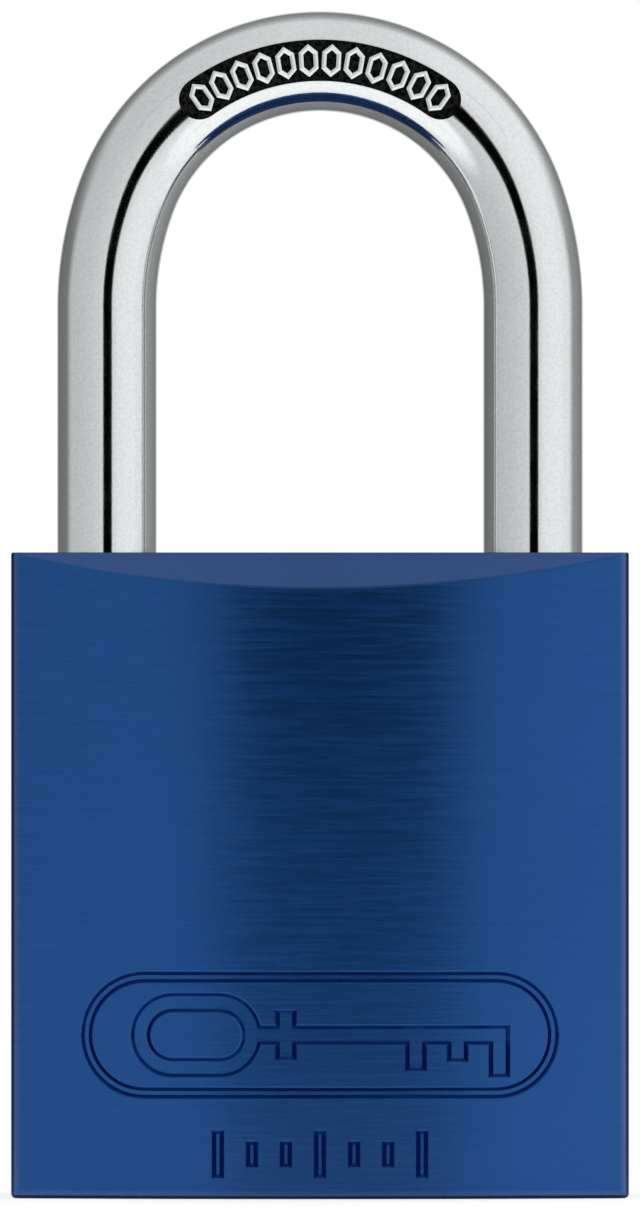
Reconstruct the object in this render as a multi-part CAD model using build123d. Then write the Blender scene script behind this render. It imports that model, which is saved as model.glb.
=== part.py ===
from build123d import *
import math
import os

# A 40 mm safety padlock: an anodised aluminium body, a hardened steel shackle held by two balls,
# and a six-pin key cylinder whose plug turns a cam between the balls.
# Millimetres. +Z is up, the front faces -Y, the origin is the centre of the body's underside.
# Everything is modelled closed and unlocked: the plug's own pins point along +Y, and turning
# the plug by -90 degrees about +Z brings them under the drivers and pushes the balls out.

# Body: flat sides, and front and back faces bowed in one arc each
body_width = 40.0
body_height = 41.8
body_depth = 19.0
side_depth = 14.4
corner_radius = 0.5
bottom_chamfer = 0.2
top_chamfer = 0.2
mouth_chamfer = 0.3

# Stamped marks on the front: a rounded border, a lying key in it, a row of ticks below
mark_depth = 0.25
border_length = 31.0
border_height = 8.3
border_band = 0.8
border_z = 10.6
key_stroke = 1.4
key_length = 24.6
bow_length = 8.6
bow_height = 5.6
collar_offset = 2.2
bit_pitch = 2.7
bit_heights = [2.8, 1.8, 2.4]
tick_count = 7
tick_width = 0.8
tick_pitch = 2.2
long_tick = 3.2
short_tick = 1.8
tick_z = 2.9

# Shackle: a three-centre arch of round bar
bar_radius = 3.25
leg_x = 13.85
crown_radius = 13.4
haunch_angle = 20.0
shackle_top = 77.0
toe_end = 28.9
heel_end = 15.45
tip_chamfer = 0.6
neck_radius = 2.25
shackle_lift = 13.3
shackle_hole_radius = 3.35
toe_hole_floor = 26.2
heel_hole_floor = 3.5

# Pocket in the front of the crown, with a row of raised hexagons
pocket_width = 2.8
pocket_half_angle = 41.5
pocket_depth = 0.55
cell_count = 12
cell_pitch_angle = 6.35
cell_width = 1.36
cell_height = 2.25
cell_stroke = 0.36
cell_relief = 0.36
cell_root = 0.05

# Locking balls and the cam between them
ball_radius = 2.75
ball_z = 33.5
ball_locked_x = 9.45
toe_ball_open_x = 7.7
heel_ball_open_x = 8.75
ball_channel_radius = 2.8
notch_radius = 2.85
cam_radius = 6.67
cam_bottom = 25.8
cam_top = 36.7
cam_pocket_clearance = 0.1
main_bore_radius = 6.75
main_bore_top = 37.0

# Key cylinder: round housing with a rib for the pin chambers, and the plug that turns in it
housing_radius = 6.7
housing_bottom = 0.6
housing_top = 24.0
rib_width = 6.6
rib_centre_x = 12.9
rib_clearance = 0.1
plug_radius = 4.95
plug_bore_radius = 5.0
flange_radius = 5.55
flange_thickness = 0.9
flange_clearance = 0.05
keyway_width = 1.9
keyway_top = 3.3
keyway_end = 23.0
ward_depth = 0.55
groove_radius = 3.2
groove_height = 0.9
tail_radius = 4.2
tongue_width = 2.2
tongue_length = 6.4
tongue_height = 2.4
slot_clearance = 0.1

# Pins, one row of six
pin_radius = 1.2
chamber_radius = 1.25
first_pin_z = 3.6
pin_pitch = 3.0
key_pin_lengths = [2.4, 3.0, 2.7, 3.6, 3.3, 2.7]
key_pin_tip = 0.75
key_pin_dome = 0.15
key_pin_end = 4.9
chamber_floor = 0.9
driver_length = 4.2
driver_chamfer = 0.2
cap_inner_x = 14.9
cap_thickness = 1.0
guard_pin_radius = 0.75
guard_pin_top = 8.0
housing_guard_places = [(8.5, -2.3), (8.5, 2.3)]
plug_guard_places = [(-3.0, -1.0), (3.0, -1.0)]

# Screw that holds the cylinder, reached through the toe hole
screw_radius = 1.25
screw_tip = 20.7
screw_head_radius = 2.2
screw_head_height = 1.6
screw_thread_pitch = 0.6
screw_thread_depth = 0.18
screw_socket_radius = 1.1
screw_hole_clearance = 0.2
screw_thread_clearance = 0.02

# Springs
shackle_spring_radius = 2.6
shackle_spring_wire = 0.4
shackle_spring_turns = 10
pin_spring_radius = 0.93
pin_spring_wire = 0.13
pin_spring_turns = 8
spring_gap = 0.02

# Sizes that follow from the ones above
rib_radius = rib_width / 2
haunch_radius = (leg_x - crown_radius * math.cos(math.radians(haunch_angle))) / (
    1 - math.cos(math.radians(haunch_angle))
)
crown_centre_z = shackle_top - bar_radius - crown_radius
haunch_z = crown_centre_z - (haunch_radius - crown_radius) * math.sin(math.radians(haunch_angle))
pin_heights = [first_pin_z + pin_pitch * k for k in range(len(key_pin_lengths))]
tail_bottom = housing_top + groove_height

# The lifted shackle stops when the head below its neck meets the heel ball.
ball_overlap_x = leg_x - bar_radius - heel_ball_open_x
head_top = ball_z - math.sqrt(ball_radius**2 - ball_overlap_x**2) - shackle_lift - 0.1


def rod(radius, start, end):
    """Cylinder from one point to another."""
    axis = Vector(*end) - Vector(*start)
    upright = Cylinder(radius, axis.length, align=(Align.CENTER, Align.CENTER, Align.MIN))
    return Plane(origin=start, z_dir=axis) * upright


def upright(radius, bottom, top, x=0.0, y=0.0):
    """Cylinder along Z."""
    return rod(radius, (x, y, bottom), (x, y, top))


def turned(points, x=0.0, y=0.0):
    """Solid turned about an upright axis from an outline of (radius, height) points."""
    outline = Plane.XZ * Polygon(*points, align=None)
    return Pos(x, y, 0) * revolve(outline, Axis.Z)


def coil(radius, wire, turns, length):
    """Coil spring of the given overall length, standing on the XY plane."""
    path = Helix(pitch=(length - 2 * wire) / turns, height=length - 2 * wire, radius=radius)
    section = Plane(origin=path @ 0, z_dir=path % 0) * Circle(wire)
    return Pos(0, 0, wire) * sweep(section, path=path, is_frenet=True)


def body_outline(inset=0.0):
    """Plan of the body, its bowed faces moved in by inset."""
    side = body_width / 2
    corner = side_depth / 2 - inset
    bow = body_depth / 2 - inset
    front = ThreePointArc((-side, -corner), (0, -bow), (side, -corner))
    right = Line((side, -corner), (side, corner))
    back = ThreePointArc((side, corner), (0, bow), (-side, corner))
    left = Line((-side, corner), (-side, -corner))
    return make_face([front, right, back, left])


def cylinder_outline(clearance=0.0):
    """Plan of the key cylinder: a circle and the rib for the pin chambers."""
    rib_length = rib_centre_x
    rib = Pos(rib_length / 2, 0) * Rectangle(rib_length, rib_width + 2 * clearance)
    rib_end = Pos(rib_centre_x, 0) * Circle(rib_radius + clearance)
    return rib + rib_end


def top_bevel(side):
    """Wedge that bevels the bowed face at 45 degrees from the top, front (-1) or back (+1)."""
    margin = 1.0
    reach = 4.0
    corner = side_depth / 2
    wedge = Polygon(
        (side * (corner - margin), body_height + margin),
        (side * (corner + reach), body_height + margin),
        (side * (corner + reach), body_height - reach),
        align=None,
    )
    return extrude(Plane.YZ * wedge, amount=body_width, both=True)


def slot_ring(length, height, band):
    """Rounded ring of even width, lying along X."""
    inside = SlotOverall(length - 2 * band, height - 2 * band)
    return SlotOverall(length, height) - inside


def key_picture():
    """A key lying on its side, bow to the left, bits to the right."""
    tip = key_length / 2
    blade_start = -tip + bow_length - key_stroke / 2
    blade = Pos((blade_start + tip) / 2, 0) * Rectangle(tip - blade_start, key_stroke)
    bow = Pos(-tip + bow_length / 2, 0) * slot_ring(bow_length, bow_height, key_stroke)
    collar = Pos(blade_start + collar_offset, 0) * Rectangle(key_stroke, 2.4 * key_stroke)
    picture = bow + blade + collar
    for step, height in enumerate(bit_heights):
        x = tip - key_stroke / 2 - step * bit_pitch
        picture += Pos(x, -height / 2) * Rectangle(key_stroke, height)
    return picture


def front_marks():
    """Every stamped mark, as prisms that end mark_depth below the bowed front face."""
    border = slot_ring(border_length, border_height, border_band)
    marks = Pos(0, border_z) * (border + key_picture())
    for tick in range(tick_count):
        x = (tick - (tick_count - 1) / 2) * tick_pitch
        height = long_tick if tick % 3 == 0 else short_tick
        marks += Pos(x, tick_z) * Rectangle(tick_width, height)
    prisms = extrude(Plane.XZ * marks, amount=body_depth)
    return prisms - extrude(body_outline(inset=mark_depth), body_height)


def make_lock_body():
    body = extrude(body_outline(), body_height)
    body = fillet(body.edges().filter_by(Axis.Z), corner_radius)
    for side in (-1, 1):
        body -= top_bevel(side)
    body = chamfer(body.faces().sort_by(Axis.Z)[0].edges(), bottom_chamfer)
    top_sides = body.faces().sort_by(Axis.Z)[-1].edges().filter_by(Axis.Y)
    body = chamfer(top_sides, top_chamfer)

    mouth = bar_hole_mouth()
    for x, floor in ((leg_x, toe_hole_floor), (-leg_x, heel_hole_floor)):
        body -= upright(shackle_hole_radius, floor, body_height + 1, x=x)
        body -= Pos(x, 0, 0) * mouth
    body -= upright(main_bore_radius, -1, main_bore_top)
    rib_slot = extrude(cylinder_outline(rib_clearance), housing_top + rib_clearance + 1)
    body -= Pos(0, 0, -1) * rib_slot
    screw_hole = screw_radius + screw_hole_clearance
    body -= upright(screw_hole, housing_top, toe_hole_floor + 1, x=rib_centre_x)
    body -= rod(ball_channel_radius, (-leg_x, 0, ball_z), (leg_x, 0, ball_z))
    return body - front_marks()


def bar_hole_mouth():
    """Cone that breaks the edge of a shackle hole."""
    return turned(
        [
            (0, body_height - mouth_chamfer),
            (shackle_hole_radius, body_height - mouth_chamfer),
            (shackle_hole_radius + 2 * mouth_chamfer, body_height + mouth_chamfer),
            (0, body_height + mouth_chamfer),
        ]
    )


def shackle_bar():
    """The bent round bar, from the heel end over the crown to the toe end."""
    crown_angle = 180 - 2 * haunch_angle
    heel_leg = Line((-leg_x, heel_end), (-leg_x, haunch_z))
    heel_haunch = JernArc(heel_leg @ 1, heel_leg % 1, haunch_radius, -haunch_angle)
    crown = JernArc(heel_haunch @ 1, heel_haunch % 1, crown_radius, -crown_angle)
    toe_haunch = JernArc(crown @ 1, crown % 1, haunch_radius, -haunch_angle)
    toe_leg = Line(toe_haunch @ 1, (leg_x, toe_end))
    path = Plane.XZ * Wire([heel_leg, heel_haunch, crown, toe_haunch, toe_leg])
    section = Plane(origin=path @ 0, z_dir=path % 0) * Circle(bar_radius)
    bar = sweep(section, path=path)
    tips = bar.faces().filter_by(GeomType.PLANE).edges()
    return chamfer(tips, tip_chamfer)


def neck_gap():
    """What is turned away around the heel leg, so that the heel ball can pass along it."""
    outside = bar_radius + 1
    return turned(
        [
            (neck_radius, head_top),
            (outside, head_top),
            (outside, ball_z + outside - neck_radius),
            (neck_radius, ball_z),
        ],
        x=-leg_x,
    )


def crown_pocket():
    """Rounded pocket along the front of the crown."""
    round_end_angle = math.degrees(pocket_width / 2 / crown_radius)
    half_angle = pocket_half_angle - round_end_angle
    line = CenterArc((0, crown_centre_z), crown_radius, 90 - half_angle, 2 * half_angle)
    pocket = SlotArc(line, pocket_width)
    floor = Plane.XZ.offset(bar_radius - pocket_depth)
    return extrude(floor * pocket, amount=2 * pocket_depth)


def crown_cells():
    """The raised hexagons on the pocket's floor."""
    side = cell_width / 2
    outline = Polygon(
        (0, cell_height / 2),
        (side, cell_height / 4),
        (side, -cell_height / 4),
        (0, -cell_height / 2),
        (-side, -cell_height / 4),
        (-side, cell_height / 4),
    )
    ring = outline - offset(outline, -cell_stroke)
    root = Plane.XZ.offset(bar_radius - pocket_depth - cell_root)
    row = Sketch()
    for index in range(cell_count):
        angle = (index - (cell_count - 1) / 2) * cell_pitch_angle
        row += Pos(0, crown_centre_z) * Rot(0, 0, angle) * Pos(0, crown_radius) * ring
    return extrude(root * row, amount=cell_relief + cell_root, dir=(0, -1, 0))


def make_shackle():
    bar = shackle_bar() - neck_gap()
    for side in (-1, 1):
        x = side * ball_locked_x
        bar -= rod(notch_radius, (x, -bar_radius - 1, ball_z), (x, bar_radius + 1, ball_z))
    return bar - crown_pocket() + crown_cells()


def make_shackle_spring():
    length = heel_end - heel_hole_floor - 2 * spring_gap
    spring = coil(shackle_spring_radius, shackle_spring_wire, shackle_spring_turns, length)
    return Pos(-leg_x, 0, heel_hole_floor + spring_gap) * spring


def ball_path_groove(open_x, first_angle):
    """Groove that a ball follows as the cam turns: open at its deep end, locked at the other."""
    stations = []
    for share in (0, 0.5, 1):
        reach = open_x + (ball_locked_x - open_x) * share
        angle = math.radians(first_angle + 90 * share)
        stations.append((reach * math.cos(angle), reach * math.sin(angle), ball_z))
    path = ThreePointArc(*stations)
    radius = ball_radius + cam_pocket_clearance
    section = Plane(origin=path @ 0, z_dir=path % 0) * Circle(radius)
    groove = sweep(section, path=path)
    return groove + Pos(path @ 0) * Sphere(radius) + Pos(path @ 1) * Sphere(radius)


def make_locking_cam():
    cam = upright(cam_radius, cam_bottom, cam_top)
    cam = chamfer(cam.edges().filter_by(GeomType.CIRCLE), 0.3)
    slot_height = tongue_height + 2 * slot_clearance
    slot = Box(
        tongue_width + 2 * slot_clearance,
        tongue_length + 2 * slot_clearance,
        slot_height,
        align=(Align.CENTER, Align.CENTER, Align.MIN),
    )
    cam -= Pos(0, 0, cam_bottom) * slot
    cam -= ball_path_groove(toe_ball_open_x, 0)
    return cam - ball_path_groove(heel_ball_open_x, 180)


def make_cylinder_housing():
    outline = Circle(housing_radius) + cylinder_outline()
    housing = Pos(0, 0, housing_bottom) * extrude(outline, housing_top - housing_bottom)
    housing -= upright(plug_bore_radius, housing_bottom, housing_top)
    recess_top = housing_bottom + flange_thickness + flange_clearance
    housing -= upright(flange_radius + flange_clearance, housing_bottom, recess_top)
    for z in pin_heights:
        housing -= rod(chamber_radius, (0, 0, z), (rib_centre_x + rib_radius + 1, 0, z))
    hole_bottom = screw_tip - 0.2
    screw_hole = screw_radius + screw_thread_clearance
    housing -= upright(screw_hole, hole_bottom, housing_top, x=rib_centre_x)
    for guard in guard_pins_at(housing_guard_places):
        housing -= guard
    return housing


def keyway():
    """Slot for the key, with a ward standing in from each side."""
    bottom = -plug_radius - 1
    profile = Pos(0, (keyway_top + bottom) / 2) * Rectangle(keyway_width, keyway_top - bottom)
    ward = Rectangle(2 * ward_depth, 0.8)
    profile -= Pos(keyway_width / 2, -0.6) * ward
    profile -= Pos(-keyway_width / 2, -2.6) * ward
    return Pos(0, 0, housing_bottom) * extrude(profile, keyway_end - housing_bottom)


def make_cylinder_plug():
    plug = turned(
        [
            (0, housing_bottom),
            (flange_radius - 0.2, housing_bottom),
            (flange_radius, housing_bottom + 0.2),
            (flange_radius, housing_bottom + flange_thickness),
            (plug_radius, housing_bottom + flange_thickness),
            (plug_radius, housing_top),
            (groove_radius, housing_top),
            (groove_radius, tail_bottom),
            (tail_radius, tail_bottom),
            (tail_radius, cam_bottom),
            (0, cam_bottom),
        ]
    )
    tongue = Box(
        tongue_width,
        tongue_length,
        tongue_height,
        align=(Align.CENTER, Align.CENTER, Align.MIN),
    )
    plug += Pos(0, 0, cam_bottom) * tongue
    plug -= keyway()
    for z in pin_heights:
        plug -= rod(chamber_radius, (0, chamber_floor, z), (0, plug_radius + 1, z))
    for guard in guard_pins_at(plug_guard_places):
        plug -= guard
    return plug


def make_plug_clip():
    """Open ring that snaps into the groove behind the plug."""
    clearance = 0.05
    bottom = housing_top + clearance
    top = tail_bottom - clearance
    clip = upright(flange_radius + 0.3, bottom, top) - upright(groove_radius, bottom, top)
    mouth = Box(2 * flange_radius, 1.7 * groove_radius, groove_height)
    return clip - Pos(-flange_radius, 0, (bottom + top) / 2) * mouth


def guard_pins_at(places):
    """Hardened pins that stop a drill, flush with the cylinder's open end."""
    return [upright(guard_pin_radius, housing_bottom, guard_pin_top, x=x, y=y) for x, y in places]


def make_cylinder_screw():
    """Socket screw, its thread as plain rings."""
    screw = upright(screw_radius, screw_tip, toe_hole_floor)
    ring_top = housing_top - screw_thread_pitch
    z = screw_tip + screw_thread_pitch
    while z < ring_top:
        screw -= turned(
            [
                (screw_radius - screw_thread_depth, z),
                (screw_radius + 0.1, z - screw_thread_pitch / 3),
                (screw_radius + 0.1, z + screw_thread_pitch / 3),
            ]
        )
        z += screw_thread_pitch
    head_top_z = toe_hole_floor + screw_head_height
    head = upright(screw_head_radius, toe_hole_floor, head_top_z)
    head = chamfer(head.edges().filter_by(GeomType.CIRCLE).sort_by(Axis.Z)[-1], 0.25)
    socket = extrude(RegularPolygon(screw_socket_radius, 6), screw_head_height)
    screw += head - Pos(0, 0, toe_hole_floor + 0.4) * socket
    return Pos(rib_centre_x, 0, 0) * screw


def make_chamber_caps():
    caps = []
    for z in pin_heights:
        start = (cap_inner_x, 0, z)
        end = (cap_inner_x + cap_thickness, 0, z)
        caps.append(rod(chamber_radius, start, end))
    return caps


def make_key_pin(length, z):
    """Pin in the plug: a cone towards the keyway and a low dome at the shear line."""
    shoulder = length - key_pin_dome
    outline = [
        (0, 0),
        (pin_radius - key_pin_tip, 0),
        (pin_radius, key_pin_tip),
        (pin_radius, shoulder),
        (pin_radius / 2, length),
        (0, length),
    ]
    along_y = Plane(origin=(0, key_pin_end - length, z), x_dir=(1, 0, 0), z_dir=(0, 1, 0))
    return along_y * turned(outline)


def make_driver_pin(z):
    """Spool-shaped pin that its spring presses onto the plug."""
    waist = pin_radius - 0.3
    outline = [
        (0, 0),
        (pin_radius - driver_chamfer, 0),
        (pin_radius, driver_chamfer),
        (pin_radius, 1.0),
        (waist, 1.3),
        (waist, driver_length - 1.3),
        (pin_radius, driver_length - 1.0),
        (pin_radius, driver_length - driver_chamfer),
        (pin_radius - driver_chamfer, driver_length),
        (0, driver_length),
    ]
    along_x = Plane(origin=(plug_bore_radius, 0, z), x_dir=(0, 1, 0), z_dir=(1, 0, 0))
    return along_x * turned(outline)


def make_pin_spring(z):
    start = plug_bore_radius + driver_length + spring_gap
    spring = coil(
        pin_spring_radius, pin_spring_wire, pin_spring_turns, cap_inner_x - spring_gap - start
    )
    return Plane(origin=(start, 0, z), x_dir=(0, 1, 0), z_dir=(1, 0, 0)) * spring


parts = {
    "lock_body": make_lock_body(),
    "shackle": make_shackle(),
    "shackle_spring": make_shackle_spring(),
    "toe_ball": Pos(toe_ball_open_x, 0, ball_z) * Sphere(ball_radius),
    "heel_ball": Pos(-heel_ball_open_x, 0, ball_z) * Sphere(ball_radius),
    "locking_cam": make_locking_cam(),
    "cylinder_housing": make_cylinder_housing(),
    "cylinder_plug": make_cylinder_plug(),
    "plug_clip": make_plug_clip(),
    "cylinder_screw": make_cylinder_screw(),
    "chamber_caps": Compound(children=make_chamber_caps()),
    "housing_guard_pins": Compound(children=guard_pins_at(housing_guard_places)),
    "plug_guard_pins": Compound(children=guard_pins_at(plug_guard_places)),
}
for number, (pin_z, pin_length) in enumerate(zip(pin_heights, key_pin_lengths), start=1):
    parts[f"key_pin_{number}"] = make_key_pin(pin_length, pin_z)
    parts[f"driver_pin_{number}"] = make_driver_pin(pin_z)
    parts[f"pin_spring_{number}"] = make_pin_spring(pin_z)

os.makedirs("parts", exist_ok=True)
for name, shape in parts.items():
    export_step(shape, f"parts/{name}.step")
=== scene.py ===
import bmesh
import bpy
import math
import numpy as np
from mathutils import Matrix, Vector


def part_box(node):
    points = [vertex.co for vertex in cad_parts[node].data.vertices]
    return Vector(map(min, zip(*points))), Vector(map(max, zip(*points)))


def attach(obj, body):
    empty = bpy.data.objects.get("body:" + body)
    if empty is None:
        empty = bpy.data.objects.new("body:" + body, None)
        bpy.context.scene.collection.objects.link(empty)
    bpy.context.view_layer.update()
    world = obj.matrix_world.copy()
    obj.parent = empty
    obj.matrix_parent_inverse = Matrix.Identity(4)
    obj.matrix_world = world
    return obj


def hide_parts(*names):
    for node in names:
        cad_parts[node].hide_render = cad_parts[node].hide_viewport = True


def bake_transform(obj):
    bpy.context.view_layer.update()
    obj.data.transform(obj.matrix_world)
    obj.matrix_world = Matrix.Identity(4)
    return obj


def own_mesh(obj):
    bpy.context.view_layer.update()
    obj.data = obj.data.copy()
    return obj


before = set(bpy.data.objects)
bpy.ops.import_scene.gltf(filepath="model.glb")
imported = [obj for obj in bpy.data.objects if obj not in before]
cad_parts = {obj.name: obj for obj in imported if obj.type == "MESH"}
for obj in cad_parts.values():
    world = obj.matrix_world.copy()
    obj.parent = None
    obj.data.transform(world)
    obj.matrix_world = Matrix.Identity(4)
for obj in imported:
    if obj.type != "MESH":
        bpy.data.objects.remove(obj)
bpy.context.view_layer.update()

# Shapes are worked out in millimetres, in the CAD model's frame, and scaled once they are meshes.
MM = 0.001
# Shorter edges than this are leftovers of a boolean.
SHORTEST_EDGE = 0.002


def size_mm(node):
    """Lowest and highest corner of a CAD node, in millimetres."""
    low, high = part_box(node)
    return low / MM, high / MM


# Body, as the CAD model has it
_, body_high = size_mm("lock_body")
BODY_HALF_WIDTH = body_high.x
BODY_HALF_DEPTH = body_high.y
BODY_HEIGHT = body_high.z
SIDE_HALF_DEPTH = 7.2
CORNER_RADIUS = 0.8
BOTTOM_EDGE, TOP_EDGE = 0.3, 0.1
FACE_BOW = BODY_HALF_DEPTH - SIDE_HALF_DEPTH
FACE_RADIUS = (BODY_HALF_WIDTH**2 + FACE_BOW**2) / (2 * FACE_BOW)

# Marks stamped in the front: a rounded border, a lying key and a row of ticks
MARK_DEPTH, MARK_INSET = 0.34, 0.3
LIP_DEPTH, LIP_INSET = 0.035, 0.07
STAMP_CLEARANCE, STAMP_STEP = 0.1, 0.01
BORDER_Z = 10.6
BORDER_LENGTH, BORDER_HEIGHT, BORDER_BAND = 31.05, 8.35, 0.86
KEY_LENGTH, KEY_STROKE = 24.6, 1.4
BOW_LENGTH, BOW_HEIGHT = 8.6, 5.6
COLLAR_OFFSET, COLLAR_HEIGHT = 2.2, 3.36
BIT_PITCH = 2.7
BIT_HEIGHTS = (2.8, 1.8, 2.4)
TICK_Z, TICK_COUNT, TICK_WIDTH, TICK_PITCH = 2.9, 7, 0.8, 2.2
LONG_TICK, SHORT_TICK, LONG_TICK_EVERY = 3.2, 1.8, 3

# Shackle: legs, haunches and a crown, in round bar
shackle_low, shackle_high = size_mm("shackle")
BAR_RADIUS = shackle_high.y
LEG_X = shackle_high.x - BAR_RADIUS
HEEL_END = shackle_low.z
TOE_END = 28.9
SHACKLE_TOP = shackle_high.z
CROWN_RADIUS = 13.4
CROWN_Z = SHACKLE_TOP - BAR_RADIUS - CROWN_RADIUS
HAUNCH_ANGLE = 20.0
TIP_CHAMFER = 0.6
POCKET_WIDTH, POCKET_HALF_ANGLE, POCKET_DEPTH = 2.8, 41.5, 0.55
POCKET_WALL = 0.1
CELL_COUNT, CELL_PITCH_ANGLE = 12, 6.35
CELL_WIDTH, CELL_HEIGHT, CELL_STROKE = 1.36, 2.3, 0.42
CELL_RELIEF, CELL_SINK = 0.36, 0.05
CELL_SHOULDER = 0.7 * CELL_RELIEF

# What is cut out of the body and the shackle, and how far a cutter stands past a face it cuts
OVERLAP = 1
SHACKLE_HOLE_RADIUS = 3.35
TOE_HOLE_FLOOR, HEEL_HOLE_FLOOR = 26.2, 3.5
MOUTH_CHAMFER = 0.3
MAIN_BORE_RADIUS, MAIN_BORE_TOP = 6.75, 37.0
RIB_HALF_WIDTH, RIB_END_X, RIB_SLOT_TOP = 3.4, 12.9, 24.1
SCREW_HOLE_RADIUS = 1.45
BALL_Z, BALL_CHANNEL_RADIUS = 33.5, 2.8
BALL_LOCKED_X, NOTCH_RADIUS = 9.45, 2.85
NECK_RADIUS, NECK_BOTTOM = 2.25, 18.06

# Springs: the shackle's, under its heel leg, and six behind the driver pins
SHACKLE_COIL_RADIUS, SHACKLE_COIL_WIRE, SHACKLE_COIL_TURNS = 2.6, 0.4, 10
PIN_COIL_RADIUS, PIN_COIL_WIRE, PIN_COIL_TURNS = 0.93, 0.13, 8
PIN_COUNT, DRIVER_TRAVEL = 6, 2.2
END_TURN_RISE = 2.1  # in wire radii

# How many points, rows or steps the curves are made of
FACE_POINTS, CORNER_POINTS, SIDE_POINTS = 50, 9, 8
EDGE_ROWS, WALL_ROWS = 7, 12
TURNED_SEGMENTS, SCREW_HOLE_SEGMENTS, ROD_SEGMENTS, BAR_SEGMENTS = 96, 48, 64, 96
# Not as many as the bar has, so that no edges coincide in the cut
NECK_SEGMENTS = 84
CROWN_STEPS, HAUNCH_STEPS, LEG_STEPS = 36, 14, 6
SLOT_END_POINTS, RIB_END_POINTS = 25, 33
POCKET_SIDE_POINTS, POCKET_END_POINTS = 49, 17
COIL_STEPS, WIRE_POINTS = 24, 12
FLOOR_SEGMENTS = 96

# Painted highlight and painted shade along the body's edges, and the darker sawn top, as distances
# in from an edge: where it starts, where it is full
SIDE_HIGHLIGHT, CORNER_SHADE = (0.6, 0.3), (0.22, 0.12)
TOP_BEVEL_HIGHLIGHT, SAWN_TOP = (0.06, 0.02), (0.04, 0.01)
# And as heights over the underside: up to where it is full, where it ends
PALE_FOOT, FOOT_SHADOW = (0.35, 0.6), (0.16, 0.28)
UNSHADED_UNDERSIDE, FLAT_SIDE = 0.02, 0.01

# How far up the pocket's walls, and how far round the crown, its black floor reaches
BLACK_HEIGHT, BLACK_FADE, BLACK_WALL_FADE = 0.2, 0.06, 0.02
BLACK_CROWN_SHARE = 0.65

# Studio: a white room with a dark gap where the camera stands. Its light is listed as (angle in
# degrees, brightness): from the front round to the back, low down and high up, and from the
# left across to the right. HIGH_SHARE says how far a ray has to rise for the high light.
GAP_LEFT, GAP_RIGHT, GAP_TOP = -8.5, 12, 40
GAP_SIDE_FADE, GAP_TOP_FADE = 1, 12
LOW_LIGHT = [
    (0, 1), (90, 1), (97, 0.75), (106, 0.36), (126, 0.3), (150, 0.24), (162, 1), (180, 1),
]
HIGH_LIGHT = [(0, 1), (106, 1), (116, 0.7), (129, 0.42), (150, 0.3), (162, 1), (180, 1)]
HIGH_SHARE = [(-90, 0), (10, 0), (35, 1), (90, 1)]
ACROSS_LIGHT = [
    (0, 0.56), (60, 0.68), (80, 0.74), (100, 0.74),
    (115, 0.77), (130, 0.86), (170, 0.92), (180, 0.84),
]
FLOOR_RADIUS, FLOOR_FADE_START, FLOOR_FORWARD, FLOOR_GLOW = 115, 70, 85, 0.56
FLOOR_DROP = 0.02
CAMERA_DISTANCE, EYE_HEIGHT, SEEN_HEIGHT = 1500, 38.4, 78.3
SENSOR_WIDTH, CAMERA_REACH = 36, 10000


# ---------------------------------------------------------------- meshes
def add_object(name, vertices, faces):
    """Mesh object from points in millimetres, with its faces turned outwards."""
    mesh = bpy.data.meshes.new(name)
    mesh.from_pydata((np.asarray(vertices, float) * MM).tolist(), [], faces)
    shape = bmesh.new()
    shape.from_mesh(mesh)
    bmesh.ops.recalc_face_normals(shape, faces=shape.faces)
    shape.to_mesh(mesh)
    shape.free()
    made = bpy.data.objects.new(name, mesh)
    bpy.context.scene.collection.objects.link(made)
    return made


def apply_modifiers(made):
    """Bakes an object's modifiers into its mesh."""
    depsgraph = bpy.context.evaluated_depsgraph_get()
    old = made.data
    made.data = bpy.data.meshes.new_from_object(made.evaluated_get(depsgraph))
    made.modifiers.clear()
    bpy.data.meshes.remove(old)


def combine(made, other, operation="DIFFERENCE"):
    """Takes another mesh's volume out of this one, or adds it."""
    step = made.modifiers.new("combine", "BOOLEAN")
    step.operation = operation
    step.solver = "EXACT"
    step.object = other
    apply_modifiers(made)
    bpy.data.objects.remove(other)


def cut(made, *cutters):
    """Takes several volumes out, one after another."""
    for cutter in cutters:
        combine(made, cutter)


def remove_slivers(made):
    """Merges points that only a boolean could have left so close together."""
    shape = bmesh.new()
    shape.from_mesh(made.data)
    bmesh.ops.remove_doubles(shape, verts=shape.verts, dist=SHORTEST_EDGE * MM)
    bmesh.ops.dissolve_degenerate(shape, edges=shape.edges, dist=SHORTEST_EDGE * MM)
    shape.to_mesh(made.data)
    shape.free()


def finish_shading(made, sharp_degrees=20):
    """Smooth shading that keeps real edges, with flat faces left flat."""
    remove_slivers(made)
    made.data.shade_smooth()
    made.data.set_sharp_from_angle(angle=math.radians(sharp_degrees))
    weights = made.modifiers.new("weighted_normals", "WEIGHTED_NORMAL")
    weights.keep_sharp = True
    apply_modifiers(made)


def tube_faces(rows, columns, ends="closed"):
    """Quads between rings of a tube; its ends are closed, open, or joined to each other."""
    faces = []
    for row in range(rows if ends == "joined" else rows - 1):
        for column in range(columns):
            after = (column + 1) % columns
            start, above = row * columns, (row + 1) % rows * columns
            faces.append((start + column, start + after, above + after, above + column))
    if ends == "closed":
        faces.append(tuple(range(columns))[::-1])
        faces.append(tuple((rows - 1) * columns + column for column in range(columns)))
    return faces


def full_turn(steps):
    """Angles evenly spaced right round a circle."""
    return np.linspace(0, 2 * math.pi, steps, endpoint=False)


def turned(name, profile, x=0.0, segments=TURNED_SEGMENTS, ends="closed"):
    """Solid turned about an upright axis, from (radius, z) points."""
    vertices = [
        (x + radius * math.cos(a), radius * math.sin(a), z)
        for radius, z in profile
        for a in full_turn(segments)
    ]
    return add_object(name, vertices, tube_faces(len(profile), segments, ends))


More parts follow.
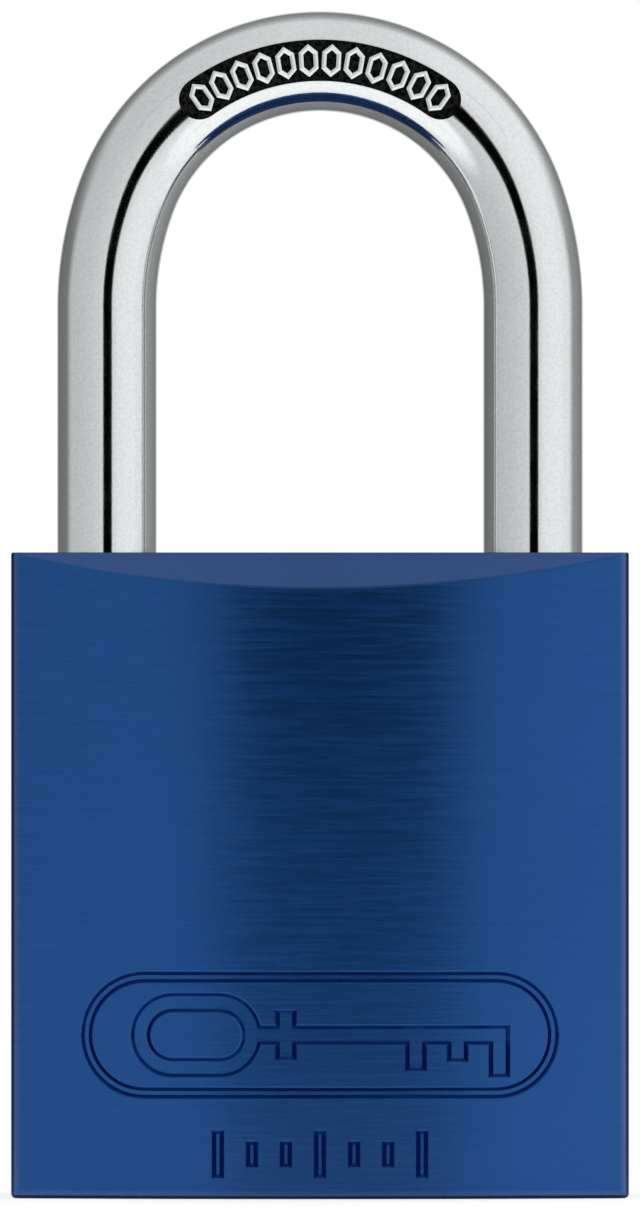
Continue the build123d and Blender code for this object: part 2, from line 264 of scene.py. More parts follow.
def rod(name, radius, start, end):
    """Cylinder from one point to another."""
    start, end = Vector(start), Vector(end)
    turn = (end - start).to_track_quat("Z", "Y")
    vertices = [
        tuple(centre + turn @ Vector((radius * math.cos(a), radius * math.sin(a), 0)))
        for centre in (start, end)
        for a in full_turn(ROD_SEGMENTS)
    ]
    return add_object(name, vertices, tube_faces(2, ROD_SEGMENTS))


# ---------------------------------------------------------------- stamped marks
def on_front(x, z, depth):
    """Point at a depth behind the bowed front face."""
    return x, depth - bow_y(x), z


def stamp_levels(depth):
    """Depth and inset of a stamp's wall: in front of the face, at its lip, and at its floor."""
    clear = STAMP_CLEARANCE
    return (-clear, -clear * LIP_INSET / LIP_DEPTH), (LIP_DEPTH, LIP_INSET), (depth, MARK_INSET)


def stamp_section(width, depth):
    """Section across a stroke, right round: (inset, offset from its middle, depth)."""
    half = [(inset, width / 2 - inset, level) for level, inset in stamp_levels(depth)]
    return half + [(inset, -offset, level) for inset, offset, level in reversed(half)]


def stamp_bar(x, z, width, height, depth=MARK_DEPTH):
    """Stamp for a straight stroke, centred at x and z, with sloping walls."""
    section = stamp_section(height, depth)
    stations = max(2, int(width) + 2)
    vertices = [
        on_front(x + share * (width - 2 * inset), z + offset, level)
        for share in np.linspace(-0.5, 0.5, stations)
        for inset, offset, level in section
    ]
    return add_object("stamp", vertices, tube_faces(stations, len(section)))


def slot_path(length, height):
    """Points and outward normals round a slot outline that lies along x."""
    radius = height / 2
    reach = length / 2 - radius
    path = []
    for side in (1, -1):
        for angle in np.linspace(-math.pi / 2, math.pi / 2, SLOT_END_POINTS):
            out = np.array([side * math.cos(angle), side * math.sin(angle)])
            path.append((np.array([side * reach, 0]) + radius * out, out))
        run = max(2, int(2 * reach))
        for share in np.linspace(0, 1, run + 1)[1:-1]:
            point = np.array([side * reach * (1 - 2 * share), side * radius])
            path.append((point, np.array([0, side])))
    return path


def stamp_ring(x, z, length, height, band, depth=MARK_DEPTH):
    """Stamp for a slot-shaped ring of one width, with sloping walls."""
    section = stamp_section(band, depth)
    path = slot_path(length - band, height - band)
    vertices = [
        on_front(x + point[0] + offset * out[0], z + point[1] + offset * out[1], level)
        for point, out in path
        for inset, offset, level in section
    ]
    return add_object("stamp", vertices, tube_faces(len(path), len(section), ends="joined"))


def front_stamps():
    """Every stamp for the front: border, key and ticks. Strokes that cross differ a little in
    depth, so that no two floors coincide."""
    tip = KEY_LENGTH / 2
    blade_start = -tip + BOW_LENGTH - KEY_STROKE / 2
    shallow, shallower = MARK_DEPTH - STAMP_STEP, MARK_DEPTH - 2 * STAMP_STEP
    stamps = [
        stamp_ring(0, BORDER_Z, BORDER_LENGTH, BORDER_HEIGHT, BORDER_BAND),
        stamp_bar((blade_start + tip) / 2, BORDER_Z, tip - blade_start, KEY_STROKE),
        stamp_ring(
            -tip + BOW_LENGTH / 2, BORDER_Z, BOW_LENGTH, BOW_HEIGHT, KEY_STROKE, shallower
        ),
        stamp_bar(blade_start + COLLAR_OFFSET, BORDER_Z, KEY_STROKE, COLLAR_HEIGHT, shallow),
    ]
    for step, height in enumerate(BIT_HEIGHTS):
        bit_x = tip - KEY_STROKE / 2 - step * BIT_PITCH
        stamps.append(stamp_bar(bit_x, BORDER_Z - height / 2, KEY_STROKE, height, shallow))
    for tick in range(TICK_COUNT):
        tick_x = (tick - (TICK_COUNT - 1) / 2) * TICK_PITCH
        height = LONG_TICK if tick % LONG_TICK_EVERY == 0 else SHORT_TICK
        stamps.append(stamp_bar(tick_x, TICK_Z, TICK_WIDTH, height))
    return stamps


# ---------------------------------------------------------------- body
def bow_y(x):
    """Distance of a bowed face from the middle plane, at x."""
    return np.sqrt(FACE_RADIUS**2 - x**2) - (FACE_RADIUS - BODY_HALF_DEPTH)


def corner_arc(centre_x, centre_y, angles):
    """Points and outward normals round a corner of the body."""
    return [
        (centre_x + CORNER_RADIUS * across, centre_y + CORNER_RADIUS * along, across, along)
        for across, along in ((math.cos(a), math.sin(a)) for a in angles)
    ]


def body_outline():
    """Plan of the body, anticlockwise from its front left: points and outward normals."""
    centre_x = BODY_HALF_WIDTH - CORNER_RADIUS
    lean = math.asin(centre_x / FACE_RADIUS)
    face_end = centre_x + CORNER_RADIUS * math.sin(lean)
    centre_y = -bow_y(face_end) + CORNER_RADIUS * math.cos(lean)
    to_right = np.linspace(-face_end, face_end, FACE_POINTS)
    to_left = np.linspace(face_end, -face_end, FACE_POINTS)
    front = [(x, -bow_y(x), x / FACE_RADIUS, -1.0) for x in to_right]
    back = [(x, bow_y(x), x / FACE_RADIUS, 1.0) for x in to_left]
    front_turn = np.linspace(lean - math.pi / 2, 0, CORNER_POINTS)[1:]
    back_turn = np.linspace(0, math.pi / 2 - lean, CORNER_POINTS)[:-1]
    side_y = np.linspace(centre_y, -centre_y, SIDE_POINTS)[1:-1]
    right = [
        *corner_arc(centre_x, centre_y, front_turn),
        *[(BODY_HALF_WIDTH, y, 1.0, 0.0) for y in side_y],
        *corner_arc(centre_x, -centre_y, back_turn),
    ]
    left = [(-x, y, -nx, ny) for x, y, nx, ny in reversed(right)]
    table = np.array(front + right + back + left)
    normals = table[:, 2:] / np.linalg.norm(table[:, 2:], axis=1)[:, None]
    return table[:, :2], normals


def body_block():
    """The body's outside, with its bevelled top, and no holes or marks yet."""
    points, normals = body_outline()
    columns = len(points)
    over = np.maximum(np.abs(points[:, 1]) - SIDE_HALF_DEPTH, 0)
    brink = BODY_HEIGHT - over
    rows = []
    for angle in np.linspace(0, math.pi / 2, EDGE_ROWS):
        inset = BOTTOM_EDGE * (1 - math.sin(angle))
        level = np.full(columns, BOTTOM_EDGE * (1 - math.cos(angle)))
        rows.append(np.column_stack([points - inset * normals, level]))
    wall = brink - TOP_EDGE - BOTTOM_EDGE
    for share in np.linspace(0, 1, WALL_ROWS)[1:]:
        rows.append(np.column_stack([points, BOTTOM_EDGE + wall * share]))
    # The last row lies on the bevels, and on the flat top along the sides.
    step_in = 0.7 * TOP_EDGE
    on_bevel = over > step_in
    last = points - step_in * normals
    last_z = np.where(on_bevel, brink + step_in, BODY_HEIGHT)
    rows.append(np.column_stack([last, last_z]))
    vertices = np.vstack(rows)
    faces = tube_faces(len(rows), columns, ends="open")
    faces.append(tuple(range(columns))[::-1])
    # Each bevel runs up from that row to a straight line on the flat top.
    top_start = (len(rows) - 1) * columns
    crest = []
    ridge = {}
    for column in np.flatnonzero(on_bevel):
        y = math.copysign(SIDE_HALF_DEPTH, points[column, 1])
        ridge[column] = len(vertices) + len(crest)
        crest.append((last[column, 0], y, BODY_HEIGHT))
    vertices = np.vstack([vertices, crest])
    for column in range(columns):
        after = (column + 1) % columns
        edge = [top_start + column, top_start + after]
        edge += [ridge[at] for at in (after, column) if at in ridge]
        if len(edge) > 2:
            faces.append(tuple(edge))
    faces.append(tuple(int(ridge.get(column, top_start + column)) for column in range(columns)))
    return add_object("body_shell", vertices, [tuple(int(i) for i in face) for face in faces])


def hole_with_mouth(x, floor):
    """Cutter for a shackle hole and the chamfer round its mouth."""
    wide = SHACKLE_HOLE_RADIUS + 2 * MOUTH_CHAMFER
    profile = [
        (SHACKLE_HOLE_RADIUS, floor),
        (SHACKLE_HOLE_RADIUS, BODY_HEIGHT - MOUTH_CHAMFER),
        (wide, BODY_HEIGHT + MOUTH_CHAMFER),
    ]
    return turned("hole", profile, x=x)


def rib_slot():
    """Cutter for the slot that takes the cylinder's rib: straight sides and a round end."""
    angles = np.linspace(-math.pi / 2, math.pi / 2, RIB_END_POINTS)
    outline = [(0, RIB_HALF_WIDTH), (0, -RIB_HALF_WIDTH)]
    for a in angles:
        outline.append((RIB_END_X + RIB_HALF_WIDTH * math.cos(a), RIB_HALF_WIDTH * math.sin(a)))
    vertices = [(x, y, z) for z in (-OVERLAP, RIB_SLOT_TOP) for x, y in outline]
    return add_object("rib_slot", vertices, tube_faces(2, len(outline)))


def make_body():
    """The body with its holes and marks."""
    body = body_block()
    bore = [(MAIN_BORE_RADIUS, -OVERLAP), (MAIN_BORE_RADIUS, MAIN_BORE_TOP)]
    screw_hole = [
        (SCREW_HOLE_RADIUS, RIB_SLOT_TOP - OVERLAP),
        (SCREW_HOLE_RADIUS, TOE_HOLE_FLOOR + OVERLAP),
    ]
    cut(
        body,
        hole_with_mouth(LEG_X, TOE_HOLE_FLOOR),
        hole_with_mouth(-LEG_X, HEEL_HOLE_FLOOR),
        turned("bore", bore),
        rib_slot(),
        turned("screw_hole", screw_hole, x=RIB_END_X, segments=SCREW_HOLE_SEGMENTS),
        rod("channel", BALL_CHANNEL_RADIUS, (-LEG_X, 0, BALL_Z), (LEG_X, 0, BALL_Z)),
        *front_stamps(),
    )
    finish_shading(body)
    return body


# ---------------------------------------------------------------- shackle
def arch():
    """Centre line of the bar from heel to toe: points in XZ, and which way is outwards."""
    lean = math.radians(HAUNCH_ANGLE)
    haunch_radius = (LEG_X - CROWN_RADIUS * math.cos(lean)) / (1 - math.cos(lean))
    haunch_z = CROWN_Z - (haunch_radius - CROWN_RADIUS) * math.sin(lean)
    haunch_x = LEG_X - haunch_radius
    toe_side = [
        *np.linspace(math.pi / 2, lean, CROWN_STEPS), *np.linspace(lean, 0, HAUNCH_STEPS)[1:]
    ]
    right = []
    for angle in toe_side:
        out = np.array([math.cos(angle), math.sin(angle)])
        if angle >= lean:
            centre = np.array([0, CROWN_Z]) + CROWN_RADIUS * out
        else:
            centre = np.array([haunch_x, haunch_z]) + haunch_radius * out
        right.append((*centre, *out))
    for z in np.linspace(haunch_z, TOE_END + TIP_CHAMFER, LEG_STEPS)[1:]:
        right.append((LEG_X, z, 1.0, 0.0))
    left = [(-x, z, -out_x, out_z) for x, z, out_x, out_z in right[1:]][::-1]
    left.insert(0, (-LEG_X, HEEL_END + TIP_CHAMFER, -1.0, 0.0))
    return np.array(left + right)


def on_crown(angle, out, y):
    """Point at an angle from the crown's top, and at a distance out from the bar's centre line."""
    radius = CROWN_RADIUS + out
    return radius * math.sin(angle), y, CROWN_Z + radius * math.cos(angle)


def shackle_bar():
    """The whole bent bar, with chamfered ends."""
    around = full_turn(BAR_SEGMENTS)
    line = arch()
    line = [(*line[0], HEEL_END), *[(*row, None) for row in line], (*line[-1], TOE_END)]
    rows = []
    for x, z, out_x, out_z, tip_z in line:
        radius = BAR_RADIUS if tip_z is None else BAR_RADIUS - TIP_CHAMFER
        across = radius * np.sin(around)
        level = z + across * out_z if tip_z is None else np.full(len(around), tip_z)
        rows.append(np.column_stack([x + across * out_x, -radius * np.cos(around), level]))
    return add_object("shackle_bow", np.vstack(rows), tube_faces(len(rows), len(around)))


def pocket_outline(half, end_angle):
    """Slot that follows the crown, as (x, z) points: its outer side and an end, then the rest."""
    outline = []
    for side in (1, -1):
        for angle in np.linspace(-end_angle, end_angle, POCKET_SIDE_POINTS):
            x, _, z = on_crown(side * angle, side * half, 0)
            outline.append((x, z))
        x, _, z = on_crown(side * end_angle, 0, 0)
        start = math.pi / 2 - side * end_angle + (0 if side > 0 else math.pi)
        for turn in np.linspace(0, math.pi, POCKET_END_POINTS)[1:-1]:
            outline.append((x + half * math.cos(start - turn), z + half * math.sin(start - turn)))
    return outline


def pocket_cutter():
    """Cutter for the pocket, with a flat floor and sloping walls."""
    floor = BAR_RADIUS - POCKET_DEPTH
    end_angle = math.radians(POCKET_HALF_ANGLE) - math.asin(POCKET_WIDTH / 2 / CROWN_RADIUS)
    vertices = []
    for y, inset in ((-floor, POCKET_WALL), (-floor - 2 * POCKET_DEPTH, -POCKET_WALL)):
        outline = pocket_outline(POCKET_WIDTH / 2 - inset, end_angle)
        vertices += [(x, y, z) for x, z in outline]
    return add_object("pocket", vertices, tube_faces(2, len(outline)))


def inset_corners(corners, inset):
    """Corners of a convex anticlockwise outline, moved in by the same distance from each side."""
    corners = np.asarray(corners, float)
    sides = np.roll(corners, -1, axis=0) - corners
    normals = np.column_stack([-sides[:, 1], sides[:, 0]])
    normals /= np.linalg.norm(sides, axis=1)[:, None]
    before = np.roll(normals, 1, axis=0)
    mitre = (normals + before) / (1 + (normals * before).sum(axis=1))[:, None]
    return corners + inset * mitre


def raised_cells():
    """Raised hexagons on the pocket's floor: rings with a ridged stroke."""
    side, tip, shoulder = CELL_WIDTH / 2, CELL_HEIGHT / 2, CELL_HEIGHT / 4
    left_side = [(0, tip), (-side, shoulder), (-side, -shoulder)]
    hexagon = left_side + [(-along, -out) for along, out in left_side]
    floor = BAR_RADIUS - POCKET_DEPTH
    # Across the stroke, as (share of its width, height over the floor)
    profile = [
        (0, -CELL_SINK),
        (0.15, CELL_SHOULDER),
        (0.5, CELL_RELIEF),
        (0.85, CELL_SHOULDER),
        (1, -CELL_SINK),
    ]
    vertices = []
    faces = []
    for index in range(CELL_COUNT):
        angle = math.radians((index - (CELL_COUNT - 1) / 2) * CELL_PITCH_ANGLE)
        start = len(vertices)
        for share, height in profile:
            for along, out in inset_corners(hexagon, share * CELL_STROKE):
                x, y, z = on_crown(angle, out, -floor - height)
                vertices.append((x + along * math.cos(angle), y, z - along * math.sin(angle)))
        ring = tube_faces(len(profile), len(hexagon), ends="joined")
        faces += [tuple(start + corner for corner in face) for face in ring]
    return add_object("cells", vertices, faces)


def neck_cutter():
    """Cutter for the heel leg's neck, a ring that slopes out at its top."""
    outside = BAR_RADIUS + OVERLAP
    profile = [
        (NECK_RADIUS, NECK_BOTTOM),
        (outside, NECK_BOTTOM),
        (outside, BALL_Z + outside - NECK_RADIUS),
        (NECK_RADIUS, BALL_Z),
    ]
    return turned("neck", profile, x=-LEG_X, segments=NECK_SEGMENTS, ends="joined")


def make_shackle():
    """The shackle with its neck, ball notches, pocket and raised hexagons."""
    shackle = shackle_bar()
    notches = [
        rod(
            "notch",
            NOTCH_RADIUS,
            (side * BALL_LOCKED_X, -BAR_RADIUS - OVERLAP, BALL_Z),
            (side * BALL_LOCKED_X, BAR_RADIUS + OVERLAP, BALL_Z),
        )
        for side in (-1, 1)
    ]
    cut(shackle, neck_cutter(), *notches, pocket_cutter())
    combine(shackle, raised_cells(), "UNION")
    finish_shading(shackle)
    return shackle


# ---------------------------------------------------------------- springs
def coil(name, start, end, radius, wire, turns):
    """Coil spring that fills the length from start to end, with closed end turns."""
    start, end = Vector(start), Vector(end)
    turn = (end - start).to_track_quat("Z", "Y")
    rise = (end - start).length - 2 * wire
    closed = END_TURN_RISE * wire
    section = full_turn(WIRE_POINTS)
    steps = COIL_STEPS * turns + 1
    vertices = []
    for at in np.linspace(0, turns, steps):
        along = wire + np.interp(at, [0, 1, turns - 1, turns], [0, closed, rise - closed, rise])
        angle = 2 * math.pi * at
        for around in section:
            out = radius + wire * math.cos(around)
            level = along + wire * math.sin(around)
            ring_point = Vector((out * math.cos(angle), out * math.sin(angle), level))
            vertices.append(tuple(start + turn @ ring_point))
    made = add_object(name, vertices, tube_faces(steps, len(section)))
    finish_shading(made, sharp_degrees=60)
    return made


def make_shackle_spring():
    """Spring under the heel leg, in place of the CAD spring."""
    low, high = size_mm("shackle_spring")
    start, end = (-LEG_X, 0, low.z), (-LEG_X, 0, high.z)
    spring = coil(
        "shackle_coil", start, end, SHACKLE_COIL_RADIUS, SHACKLE_COIL_WIRE, SHACKLE_COIL_TURNS
    )
    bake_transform(spring)
    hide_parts("shackle_spring")
    return spring


def make_pin_spring(number):
    """Spring behind a driver pin, in place of the CAD spring."""
    low, high = size_mm(f"pin_spring_{number}")
    z = (low.z + high.z) / 2
    start, end = (high.x, 0, z), (low.x, 0, z)
    spring = coil(f"pin_coil_{number}", start, end, PIN_COIL_RADIUS, PIN_COIL_WIRE, PIN_COIL_TURNS)
    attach(spring, "lock_body")
    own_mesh(spring)
    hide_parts(f"pin_spring_{number}")
    return spring


# ---------------------------------------------------------------- materials
class NodeTree:
    """Shader nodes, added to a tree one at a time."""

    def __init__(self, tree):
        self.tree = tree

    def node(self, kind, **settings):
        """New node of a kind, with its settings."""
        made = self.tree.nodes.new("ShaderNode" + kind)
        for key, value in settings.items():
            setattr(made, key, value)
        return made

    def feed(self, value, socket):
        """Links another node's output to a socket, or sets a plain value."""
        if isinstance(value, bpy.types.NodeSocket):
            self.tree.links.new(value, socket)
        else:
            socket.default_value = value

    def math(self, operation, a, b=0.0):
        """Result of an operation on one or two numbers."""
        made = self.node("Math", operation=operation)
        self.feed(a, made.inputs[0])
        self.feed(b, made.inputs[1])
        return made.outputs[0]


class Shader(NodeTree):
    """A node material."""

    def __init__(self, name):
        self.material = bpy.data.materials.new(name)
        self.material.use_nodes = True
        super().__init__(self.material.node_tree)
        self.surface = self.tree.nodes["Principled BSDF"]

    def set(self, **values):
        """Sets or links sockets of the surface, by their names."""
        for name, value in values.items():
            self.feed(value, self.surface.inputs[name.replace("_", " ")])

    def place(self, scale=(1, 1, 1)):
        """Place on the object in millimetres, stretched by scale."""
        mapping = self.node("Mapping")
        mapping.inputs["Scale"].default_value = [s / MM for s in scale]
        self.feed(self.node("TexCoord").outputs["Object"], mapping.inputs["Vector"])
        return mapping.outputs["Vector"]

    def axes(self):
        """X, Y and Z on the object, in millimetres."""
        parts = self.node("SeparateXYZ")
        self.feed(self.place(), parts.inputs[0])
        return parts.outputs

    def noise(self, scale, detail):
        """Noise from 0 to 1, at so many cells per millimetre along each axis."""
        made = self.node("TexNoise")
        made.inputs["Scale"].default_value = 1.0
        made.inputs["Detail"].default_value = detail
        self.feed(self.place(scale), made.inputs["Vector"])
        return made.outputs["Fac"]

    def span(self, value, low, high, from_low=0.0, from_high=1.0):
        """Maps a value from one range to another, held at its ends."""
        made = self.node("MapRange")
        self.feed(value, made.inputs["Value"])
        made.inputs["From Min"].default_value = from_low
        made.inputs["From Max"].default_value = from_high
        made.inputs["To Min"].default_value = low
        made.inputs["To Max"].default_value = high
        return made.outputs["Result"]

    def near(self, value, edge, distances, most=1.0):
        """Rises from 0 to most as a value comes near an edge from below."""
        start, full = distances
        return self.span(value, 0, most, edge - start, edge - full)

    def product(self, *shares):
        """Several values multiplied together."""
        result = shares[0]
        for share in shares[1:]:
            result = self.math("MULTIPLY", result, share)
        return result

    def blend(self, share, a, b):
        """Colour a where share is 0 and b where it is 1."""
        made = self.node("Mix", data_type="RGBA")
        self.feed(share, made.inputs[0])
        for value, socket in ((a, made.inputs[6]), (b, made.inputs[7])):
            self.feed(value if isinstance(value, bpy.types.NodeSocket) else (*value, 1), socket)
        return made.outputs[2]

    def bump(self, height, distance, strength):
        """Bumps the surface, by a distance in millimetres where height is 1."""
        made = self.node("Bump")
        made.inputs["Strength"].default_value = strength
        made.inputs["Distance"].default_value = distance * MM
        self.feed(height, made.inputs["Height"])
        self.feed(made.outputs["Normal"], self.surface.inputs["Normal"])


def blue_anodised():
    """Blue anodised aluminium, brushed along X: fine streaks, a stretched gloss, a clear skin."""
    s = Shader("blue_anodised")
    x, y, z = s.axes()
    from_middle = s.math("ABSOLUTE", x)
    streaks = s.noise((0.25, 0.25, 4.5), detail=4)
    broad = s.noise((0.05, 0.05, 0.08), detail=2)
    tone = s.span(s.math("ADD", streaks, s.math("MULTIPLY", broad, 0.6)), 0, 1, 0.45, 1.15)
    brushed = s.blend(tone, (0.011, 0.074, 0.268), (0.015, 0.085, 0.305))
    # Painted highlight: the corners and the top bevels are painted paler, as if lit; a band along
    # the foot is paler too.
    corner_highlight = s.near(from_middle, BODY_HALF_WIDTH, SIDE_HIGHLIGHT)
    slope = s.math("ADD", z, s.math("ABSOLUTE", y))
    bevel_highlight = s.near(slope, BODY_HEIGHT + SIDE_HALF_DEPTH, TOP_BEVEL_HIGHLIGHT, most=0.55)
    pale_band = s.span(z, 0.6, 0, *PALE_FOOT)
    not_side = s.math("LESS_THAN", from_middle, BODY_HALF_WIDTH - FLAT_SIDE)
    pale_edges = s.product(s.math("MAXIMUM", s.math("MAXIMUM", corner_highlight, bevel_highlight), pale_band), not_side)
    patchy = s.product(pale_edges, s.span(streaks, 0.7, 1, 0.3, 0.6))
    colour = s.blend(patchy, brushed, (0.07, 0.125, 0.31))
    # The sawn top is darker.
    colour = s.blend(s.near(z, BODY_HEIGHT, SAWN_TOP), colour, (0.004, 0.031, 0.12))
    # Painted shade: a dark line along the bottom edge, a painted contact shadow, and a dark line
    # along the corners.
    above_underside = s.span(z, 0, 1, 0, UNSHADED_UNDERSIDE)
    shadow_line = s.product(s.span(z, 1, 0, *FOOT_SHADOW), above_underside)
    corner = s.near(from_middle, BODY_HALF_WIDTH, CORNER_SHADE, most=0.6)
    painted_shade = s.math("MAXIMUM", shadow_line, s.product(corner, not_side))
    s.set(
        Base_Color=s.blend(painted_shade, colour, (0.001, 0.008, 0.03)),
        Metallic=1.0,
        Roughness=s.span(streaks, 0.24, 0.31, 0.3, 0.7),
        Anisotropic=0.9,
        Anisotropic_Rotation=0.25,
        Specular_Tint=(0.4, 0.55, 0.95, 1),
        Coat_Weight=0.35,
        Coat_Roughness=0.18,
        Coat_IOR=1.4,
    )
    tangent = s.node("Tangent", direction_type="RADIAL", axis="Z")
    s.feed(tangent.outputs["Tangent"], s.surface.inputs["Tangent"])
    s.bump(s.span(streaks, 0, 1, 0.5, 0.8), 0.012, 0.5)
    return s.material


def polished_steel():
    """Hardened bar, plated and polished: fine speckle, and a dark unpolished pocket floor."""
    s = Shader("polished_steel")
    speckle = s.noise((5.0, 5.0, 5.0), detail=2)
    patches = s.noise((0.4, 0.4, 0.4), detail=3)
    x, y, z = s.axes()
    rise = s.math("SUBTRACT", z, CROWN_Z)
    reach = s.math("SQRT", s.math("ADD", s.math("POWER", x, 2), s.math("POWER", rise, 2)))
    off_line = s.math("ABSOLUTE", s.math("SUBTRACT", reach, CROWN_RADIUS))
    wall = POCKET_WIDTH / 2
    in_pocket = s.span(off_line, 1, 0, wall - BLACK_WALL_FADE, wall + BLACK_WALL_FADE)
    black_y = -(BAR_RADIUS - POCKET_DEPTH + BLACK_HEIGHT)
    below = s.span(y, 0, 1, black_y - BLACK_FADE, black_y + BLACK_FADE)
    in_front = s.math("LESS_THAN", y, black_y / 2)
    near_top = s.math("GREATER_THAN", rise, BLACK_CROWN_SHARE * CROWN_RADIUS)
    blackened = s.product(in_pocket, below, in_front, near_top)
    shiny = s.blend(
        s.span(speckle, 0, 1, 0.35, 0.65), (0.795, 0.825, 0.83), (0.875, 0.91, 0.915)
    )
    black = s.blend(s.span(speckle, 0, 1, 0.4, 0.6), (0.004, 0.004, 0.004), (0.03, 0.031, 0.031))
    gloss = s.span(patches, 0.06, 0.10, 0.3, 0.7)
    s.set(
        Base_Color=s.blend(blackened, shiny, black),
        Metallic=1.0,
        Roughness=s.math("ADD", gloss, s.math("MULTIPLY", blackened, 0.35)),
    )
    s.bump(speckle, 0.002, 0.5)
    return s.material


def machined(name, dark, light, roughness, rings_per_mm=6.0):
    """Turned or ground metal: fine tool marks, cloudy tone."""
    s = Shader(name)
    marks = s.noise((0.6, 0.6, rings_per_mm), detail=3)
    cloud = s.noise((0.5, 0.5, 0.5), detail=4)
    s.set(
        Base_Color=s.blend(s.span(cloud, 0, 1, 0.3, 0.7), dark, light),
        Metallic=1.0,
        Roughness=s.span(marks, roughness - 0.06, roughness + 0.08, 0.3, 0.7),
    )
    s.bump(marks, 0.004, 0.4)
    return s.material


def paint(material, *nodes):
    """Gives CAD nodes a material."""
    for name in nodes:
        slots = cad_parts[name].data.materials
        slots.clear()
        slots.append(material)


# ---------------------------------------------------------------- studio
class Sky(NodeTree):
    """The world's light, worked out from the direction a ray leaves in."""

    def __init__(self):
        world = bpy.data.worlds.new("studio")
        world.use_nodes = True
        bpy.context.scene.world = world
        super().__init__(world.node_tree)
        self.tree.nodes.clear()
        axes = self.node("SeparateXYZ")
        self.feed(self.node("TexCoord").outputs["Generated"], axes.inputs[0])
        self.x, self.y, self.z = axes.outputs

    def degrees(self, angle):
        """Radians turned into degrees."""
        return self.math("MULTIPLY", angle, 180 / math.pi)

    def ramp(self, angle, stops):
        """Brightness read off a list of (angle in degrees, brightness)."""
        start, end = stops[0][0], stops[-1][0]
        share = self.math("DIVIDE", self.math("SUBTRACT", angle, start), end - start)
        made = self.node("ValToRGB")
        self.feed(share, made.inputs[0])
        elements = made.color_ramp.elements
        # A new ramp has an element at each end.
        for element, (_, bright) in zip(elements, (stops[0], stops[-1])):
            element.color = (bright, bright, bright, 1)
        for at, bright in stops[1:-1]:
            element = elements.new((at - start) / (end - start))
            element.color = (bright, bright, bright, 1)
        return made.outputs[0]

    def light(self, colour):
        """Background of a colour."""
        made = self.node("Background")
        self.feed(colour, made.inputs["Color"])
        return made.outputs[0]

    def finish(self, lit):
        """White where the camera looks straight at it, lit where anything else does."""
        mix = self.node("MixShader")
        self.feed(self.node("LightPath").outputs["Is Camera Ray"], mix.inputs[0])
        self.feed(self.light(lit), mix.inputs[1])
        self.feed(self.light((1, 1, 1, 1)), mix.inputs[2])
        self.feed(mix.outputs[0], self.node("OutputWorld").inputs["Surface"])


def studio_world():
    """A white room: panels left, right and above, a dark gap where the camera stands."""
    sky = Sky()
    towards_front = sky.math("MULTIPLY", sky.y, -1)
    from_front = sky.degrees(sky.math("ARCCOSINE", towards_front))
    azimuth = sky.degrees(sky.math("ARCTAN2", sky.x, towards_front))
    elevation = sky.degrees(sky.math("ARCSINE", sky.z))
    # 0 at the far left and 180 at the far right
    across = sky.math("MULTIPLY", sky.math("ADD", sky.x, 1), 90)
    high = sky.ramp(elevation, HIGH_SHARE)
    around = sky.math(
        "ADD",
        sky.math("MULTIPLY", sky.ramp(from_front, HIGH_LIGHT), high),
        sky.math("MULTIPLY", sky.ramp(from_front, LOW_LIGHT), sky.math("SUBTRACT", 1, high)),
    )
    light = sky.math("MULTIPLY", around, sky.ramp(across, ACROSS_LIGHT))
    gap = [
        (-180, 0),
        (GAP_LEFT - GAP_SIDE_FADE, 0),
        (GAP_LEFT + GAP_SIDE_FADE, 1),
        (GAP_RIGHT - GAP_SIDE_FADE, 1),
        (GAP_RIGHT + GAP_SIDE_FADE, 0),
        (180, 0),
    ]
    below_top = [(-90, 1), (GAP_TOP - GAP_TOP_FADE, 1), (GAP_TOP + GAP_TOP_FADE, 0), (90, 0)]
    dark = sky.math("MULTIPLY", sky.ramp(azimuth, gap), sky.ramp(elevation, below_top))
    sky.finish(sky.math("MULTIPLY", light, sky.math("SUBTRACT", 1, dark)))


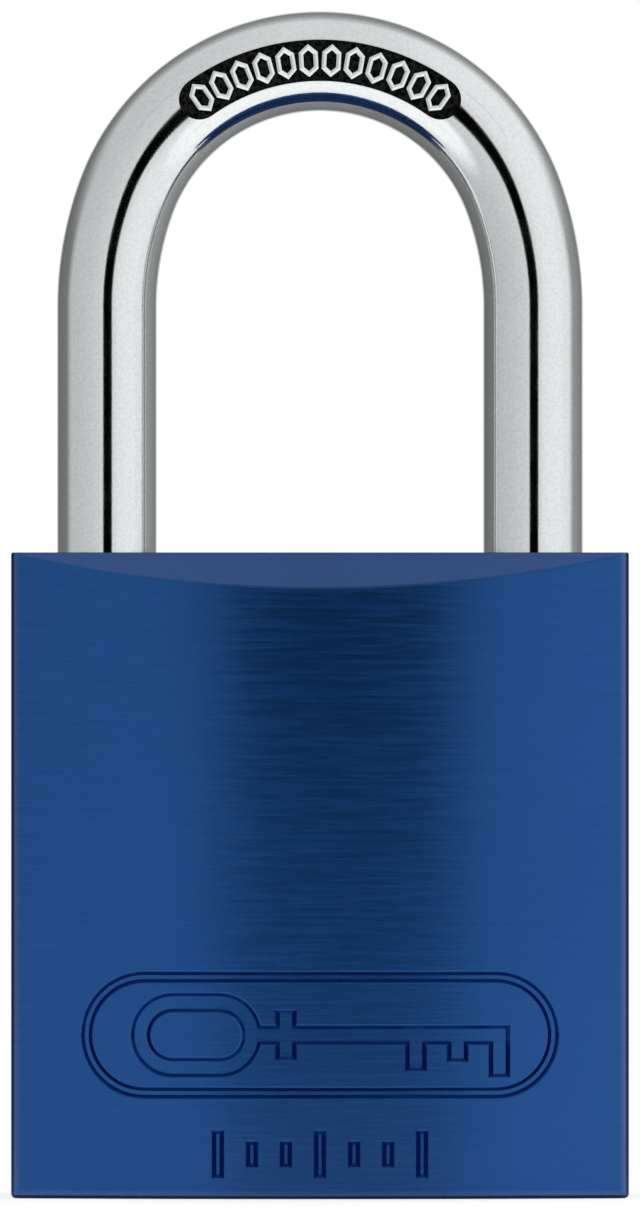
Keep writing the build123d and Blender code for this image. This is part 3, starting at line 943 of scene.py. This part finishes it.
def make_floor():
    """Round white floor, mostly in front of the padlock, that fades away at its rim."""
    turns = full_turn(FLOOR_SEGMENTS)
    rim = [(FLOOR_RADIUS * math.cos(a), FLOOR_RADIUS * math.sin(a), 0) for a in turns]
    floor = add_object("floor", rim, [tuple(range(FLOOR_SEGMENTS))])
    floor.location = Vector((0, -FLOOR_FORWARD, -FLOOR_DROP)) * MM
    s = Shader("floor_white")
    s.set(
        Base_Color=(0.8, 0.8, 0.8, 1),
        Roughness=0.9,
        Specular_IOR_Level=0.0,
        Emission_Color=(1, 1, 1, 1),
        Emission_Strength=FLOOR_GLOW,
    )
    reach = s.node("VectorMath", operation="LENGTH")
    s.feed(s.place(), reach.inputs[0])
    s.set(Alpha=s.span(reach.outputs["Value"], 1, 0, FLOOR_FADE_START, FLOOR_RADIUS))
    floor.data.materials.append(s.material)


def make_camera():
    """Camera straight in front, far off with a long lens."""
    data = bpy.data.cameras.new("camera")
    cam = bpy.data.objects.new("camera", data)
    bpy.context.scene.collection.objects.link(cam)
    data.sensor_width = SENSOR_WIDTH
    data.lens = data.sensor_width * CAMERA_DISTANCE / SEEN_HEIGHT
    cam.location = Vector((0, -SIDE_HALF_DEPTH - CAMERA_DISTANCE, EYE_HEIGHT)) * MM
    cam.rotation_euler = (math.radians(90), 0, 0)
    data.clip_end = CAMERA_REACH * MM
    bpy.context.scene.camera = cam


# ---------------------------------------------------------------- the object
blue = blue_anodised()
bright = polished_steel()
brass = machined("machined_brass", (0.55, 0.37, 0.12), (0.68, 0.48, 0.18), 0.28)
nickel = machined("nickel_silver", (0.52, 0.48, 0.38), (0.64, 0.60, 0.50), 0.26)
steel = machined("ground_steel", (0.42, 0.43, 0.44), (0.58, 0.58, 0.58), 0.24)
wire = machined("spring_wire", (0.36, 0.37, 0.38), (0.52, 0.52, 0.53), 0.22, rings_per_mm=12.0)
black = machined("black_oxide", (0.03, 0.03, 0.032), (0.06, 0.06, 0.062), 0.38)

body = make_body()
body.data.materials.append(blue)
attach(body, "lock_body")
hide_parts("lock_body")

shackle = make_shackle()
shackle.data.materials.append(bright)
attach(shackle, "shackle")
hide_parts("shackle")

paint(brass, "cylinder_housing", "chamber_caps")
paint(nickel, "cylinder_plug")
paint(steel, "toe_ball", "heel_ball", "locking_cam", "plug_clip")
paint(steel, "housing_guard_pins", "plug_guard_pins")
paint(black, "cylinder_screw")
springs = [make_shackle_spring()]
for number in range(1, PIN_COUNT + 1):
    paint(brass, f"key_pin_{number}")
    paint(nickel, f"driver_pin_{number}")
    springs.append(make_pin_spring(number))
for spring in springs:
    spring.data.materials.append(wire)

studio_world()
make_floor()
make_camera()
bpy.context.scene.view_settings.view_transform = "Standard"
